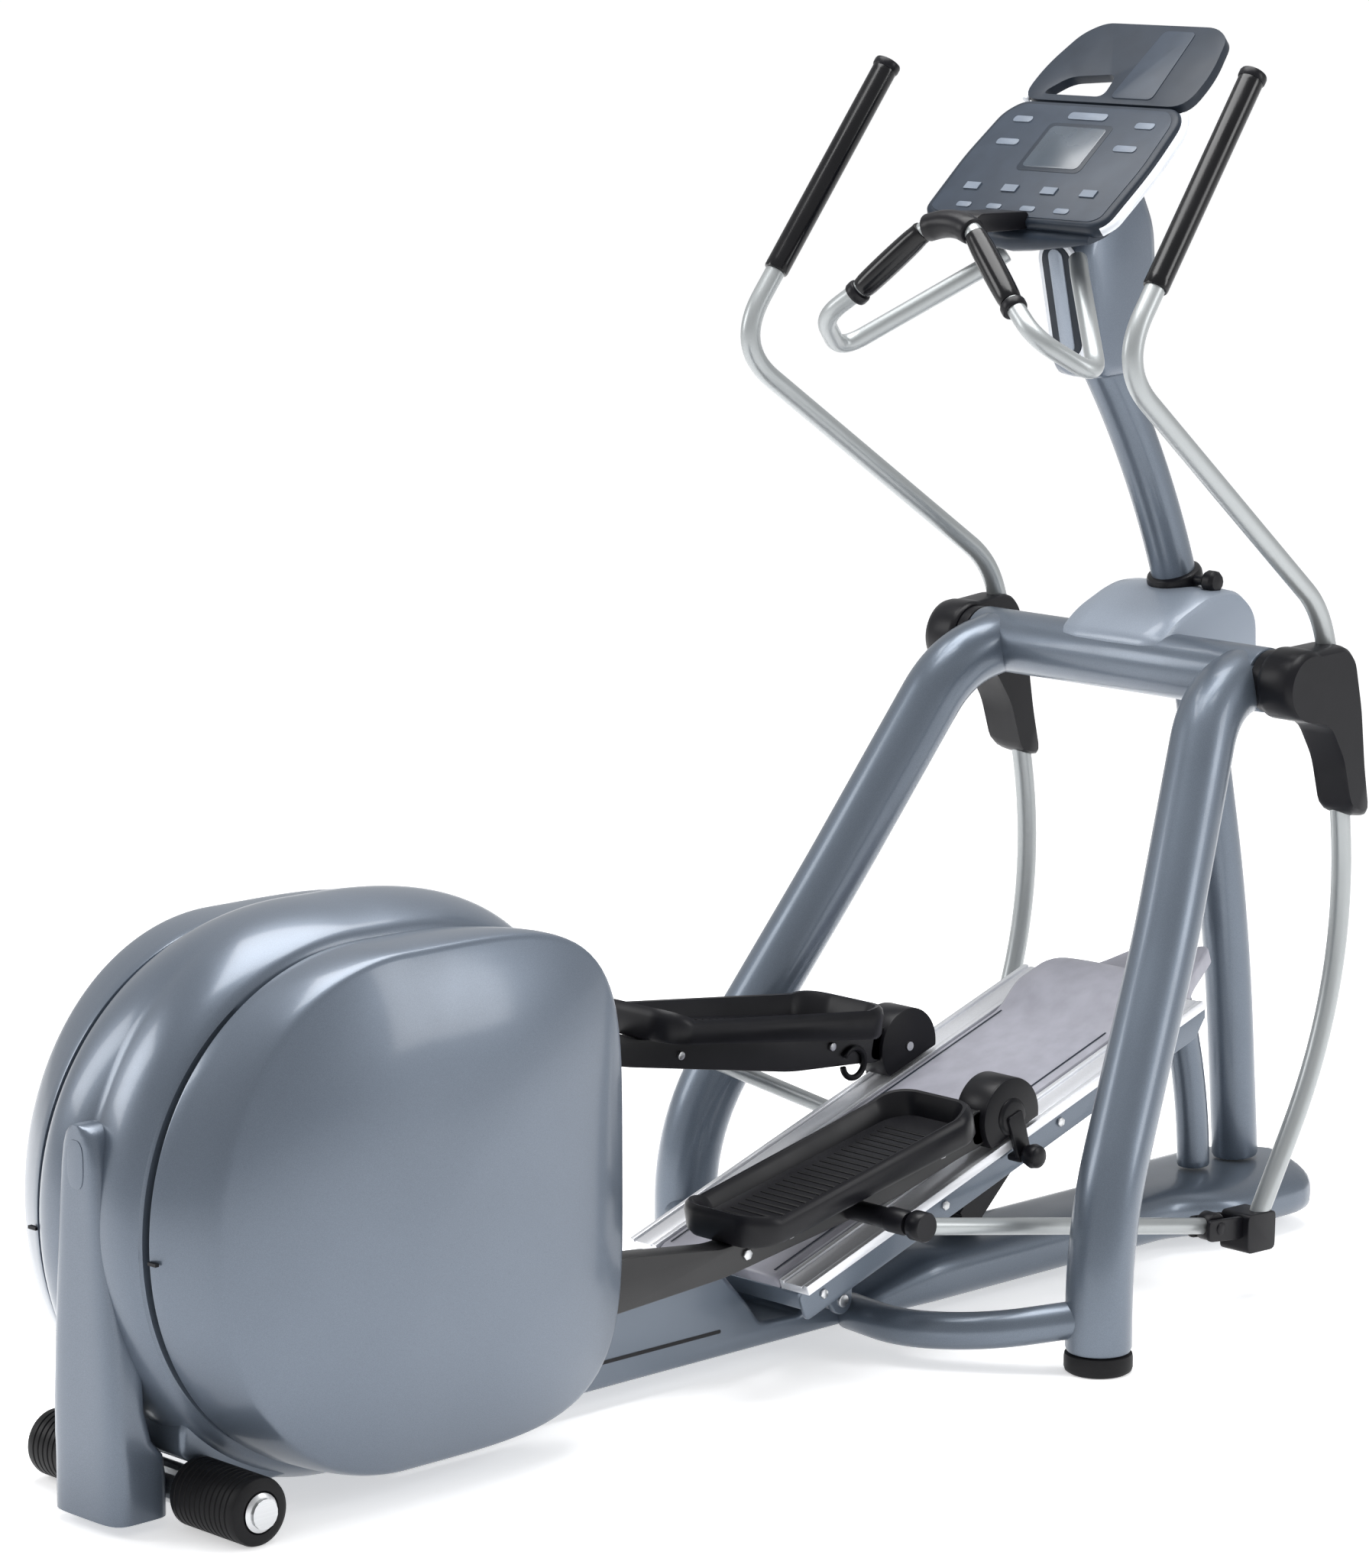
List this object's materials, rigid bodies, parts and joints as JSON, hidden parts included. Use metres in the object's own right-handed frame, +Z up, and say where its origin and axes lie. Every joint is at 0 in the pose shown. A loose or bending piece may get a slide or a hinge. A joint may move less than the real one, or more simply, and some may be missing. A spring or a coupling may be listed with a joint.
{
  "type": "elliptical trainer",
  "caption": "Elliptical trainer: round rear drive housing, pedal arms rolling on an inclining ramp, tube frame, swinging hand levers and a console on a mast.",
  "frame": {"origin": "on the floor, in the middle of the machine's footprint", "axes": "+X the way the user faces, from the drive housing to the console; +Y the user's left; +Z up"},
  "size_m": [2.194, 0.8808, 1.7369],
  "materials": {
    "frame_paint": "metallic blue-grey powder coat",
    "housing": "satin metallic blue-grey",
    "silver_tube": "silver metallic",
    "black_paint": "satin black",
    "steel": "machined",
    "track": "bright drawn",
    "iron": "dark, oiled",
    "rubber": "matte",
    "black_plastic": "fine grain",
    "ramp_plastic": "satin light grey",
    "console": "satin dark slate",
    "key": "soft touch"
  },
  "bodies": {
    "frame": {"spine_beam": "frame_paint", "rear_axle_bar": "steel", "rear_post_cover": "housing", "centre_shroud": "housing", "outer_cover_left": "housing", "outer_cover_right": "housing", "front_beam": "frame_paint", "fork_arm_left": "frame_paint", "fork_arm_right": "frame_paint", "leg_left": "frame_paint", "leg_right": "frame_paint", "leg_foot_left": "rubber", "leg_foot_right": "rubber", "crossbar": "frame_paint", "front_post": "frame_paint", "guide_post": "frame_paint", "column": "frame_paint", "saddle_cover": "housing", "console_neck": "housing", "console_shell": "console", "reading_rack": "console", "handlebar": "silver_tube", "generator": "iron", "drive_belt": "rubber", "axle_stand": "iron"},
    "crank": {"drive_axle": "steel", "drive_pulley": "black_plastic", "crank_left": "steel", "crank_right": "steel"},
    "flywheel": {"flywheel": "iron"},
    "wheel_left": {"transport_wheel_left": "rubber"},
    "wheel_right": {"transport_wheel_right": "rubber"},
    "ramp": {"ramp_tray": "frame_paint", "ramp_cover": "ramp_plastic", "ramp_track_left": "track", "ramp_track_right": "track"},
    "lift_motor": {"lift_motor": "black_plastic"},
    "lift_screw": {"lift_screw": "steel"},
    "carriage_left": {"roller_axle_left": "steel"},
    "carriage_right": {"roller_axle_right": "steel"},
    "roller_left": {"roller_left": "black_plastic"},
    "roller_right": {"roller_right": "black_plastic"},
    "cover_left": {"roller_cover_left": "black_plastic"},
    "cover_right": {"roller_cover_right": "black_plastic"},
    "arm_left": {"pedal_arm_left": "black_paint", "pedal_left": "black_plastic"},
    "arm_right": {"pedal_arm_right": "black_paint", "pedal_right": "black_plastic"},
    "lever_left": {"lever_left": "silver_tube", "lever_shroud_left": "black_plastic", "lever_grip_left": "rubber"},
    "lever_right": {"lever_right": "silver_tube", "lever_shroud_right": "black_plastic", "lever_grip_right": "rubber"},
    "link_left": {"link_left": "silver_tube"},
    "link_right": {"link_right": "silver_tube"},
    "incline_down_key": {"incline_down_key": "key"},
    "incline_up_key": {"incline_up_key": "key"},
    "resistance_down_key": {"resistance_down_key": "key"},
    "resistance_up_key": {"resistance_up_key": "key"}
  },
  "joints": [
    {"name": "crank_turn", "type": "hinge", "parent": "frame", "child": "crank", "pos_m": [-0.741, 0, 0.363], "axis": [0, 1, 0], "continuous": true},
    {"name": "flywheel_turn", "type": "hinge", "parent": "frame", "child": "flywheel", "pos_m": [-0.529, 0, 0.336], "axis": [0, 1, 0], "continuous": true},
    {"name": "wheel_left_roll", "type": "hinge", "parent": "frame", "child": "wheel_left", "pos_m": [-0.986, 0.14, 0.043], "axis": [0, 1, 0], "continuous": true},
    {"name": "wheel_right_roll", "type": "hinge", "parent": "frame", "child": "wheel_right", "pos_m": [-0.986, -0.14, 0.043], "axis": [0, 1, 0], "continuous": true},
    {"name": "ramp_incline", "type": "hinge", "parent": "frame", "child": "ramp", "pos_m": [0.094, 0, 0.075], "axis": [0, -1, 0], "range_deg": [-8.6, 4.4]},
    {"name": "lift_motor_swing", "type": "hinge", "parent": "frame", "child": "lift_motor", "pos_m": [0.439, 0, 0.12], "axis": [0, -1, 0], "range_deg": [-19.3, 9.9]},
    {"name": "lift_screw_travel", "type": "slide", "parent": "lift_motor", "child": "lift_screw", "axis": [0.7309, 0, 0.6825], "range_m": [-0.0256, 0.0131]},
    {"name": "stride_right", "type": "slide", "parent": "ramp", "child": "carriage_right", "axis": [0.9478, 0, 0.319], "range_m": [-0.07, 0.27]},
    {"name": "stride_left", "type": "slide", "parent": "ramp", "child": "carriage_left", "axis": [0.9478, 0, 0.319], "range_m": [-0.27, 0.07]},
    {"name": "roller_right_spin", "type": "hinge", "parent": "carriage_right", "child": "roller_right", "pos_m": [0.35412, -0.143, 0.2938], "axis": [0, 1, 0], "continuous": true},
    {"name": "roller_left_spin", "type": "hinge", "parent": "carriage_left", "child": "roller_left", "pos_m": [0.45402, 0.143, 0.32742], "axis": [0, 1, 0], "continuous": true},
    {"name": "cover_right_level", "type": "hinge", "parent": "carriage_right", "child": "cover_right", "pos_m": [0.35412, -0.143, 0.2938], "axis": [0, 1, 0], "range_deg": [-6.2, 3.2]},
    {"name": "cover_left_level", "type": "hinge", "parent": "carriage_left", "child": "cover_left", "pos_m": [0.45402, 0.143, 0.32742], "axis": [0, 1, 0], "range_deg": [-6.2, 3.2]},
    {"name": "arm_right_pitch", "type": "hinge", "parent": "cover_right", "child": "arm_right", "pos_m": [0.35412, -0.143, 0.2938], "axis": [0, 1, 0], "range_deg": [0, 12]},
    {"name": "arm_left_pitch", "type": "hinge", "parent": "cover_left", "child": "arm_left", "pos_m": [0.45402, 0.143, 0.32742], "axis": [0, 1, 0], "range_deg": [-12, 0]},
    {"name": "lever_right_swing", "type": "hinge", "parent": "frame", "child": "lever_right", "pos_m": [0.759, -0.3, 0.857], "axis": [0, 1, 0], "range_deg": [-17.7, 4.6]},
    {"name": "lever_left_swing", "type": "hinge", "parent": "frame", "child": "lever_left", "pos_m": [0.759, 0.3, 0.857], "axis": [0, 1, 0], "range_deg": [-4.25, 16.3]},
    {"name": "link_right_turn", "type": "hinge", "parent": "lever_right", "child": "link_right", "pos_m": [0.63406, -0.2855, 0.11206], "axis": [0, 1, 0], "range_deg": [-7.2, 27.8]},
    {"name": "link_left_turn", "type": "hinge", "parent": "lever_left", "child": "link_left", "pos_m": [0.67401, 0.2855, 0.10646], "axis": [0, 1, 0], "range_deg": [-30.1, 7.8]},
    {"name": "incline_down_press", "type": "slide", "parent": "frame", "child": "incline_down_key", "axis": [0.6361, 0, -0.7716], "range_m": [0, 0.002], "stiffness_N_per_m": 300, "springref_m": -0.001},
    {"name": "incline_up_press", "type": "slide", "parent": "frame", "child": "incline_up_key", "axis": [0.6361, 0, -0.7716], "range_m": [0, 0.002], "stiffness_N_per_m": 300, "springref_m": -0.001},
    {"name": "resistance_down_press", "type": "slide", "parent": "frame", "child": "resistance_down_key", "axis": [0.6361, 0, -0.7716], "range_m": [0, 0.002], "stiffness_N_per_m": 300, "springref_m": -0.001},
    {"name": "resistance_up_press", "type": "slide", "parent": "frame", "child": "resistance_up_key", "axis": [0.6361, 0, -0.7716], "range_m": [0, 0.002], "stiffness_N_per_m": 300, "springref_m": -0.001}
  ],
  "couplings": [
    {"joint": "flywheel_turn", "follows": "crank_turn", "ratio": 6},
    {"joint": "stride_left", "follows": "stride_right", "ratio": -1},
    {"joint": "lever_right_swing", "follows": "stride_right", "rad_per_m": -1.14},
    {"joint": "lever_left_swing", "follows": "stride_right", "rad_per_m": 1.05},
    {"joint": "link_right_turn", "follows": "stride_right", "rad_per_m": 1.79},
    {"joint": "link_left_turn", "follows": "stride_right", "rad_per_m": -1.94},
    {"joint": "arm_left_pitch", "follows": "arm_right_pitch", "ratio": -1},
    {"joint": "lift_motor_swing", "follows": "ramp_incline", "ratio": 2.24},
    {"joint": "lift_screw_travel", "follows": "ramp_incline", "m_per_rad": 0.17},
    {"joint": "cover_right_level", "follows": "ramp_incline", "ratio": 0.703},
    {"joint": "cover_left_level", "follows": "ramp_incline", "ratio": 0.703}
  ]
}
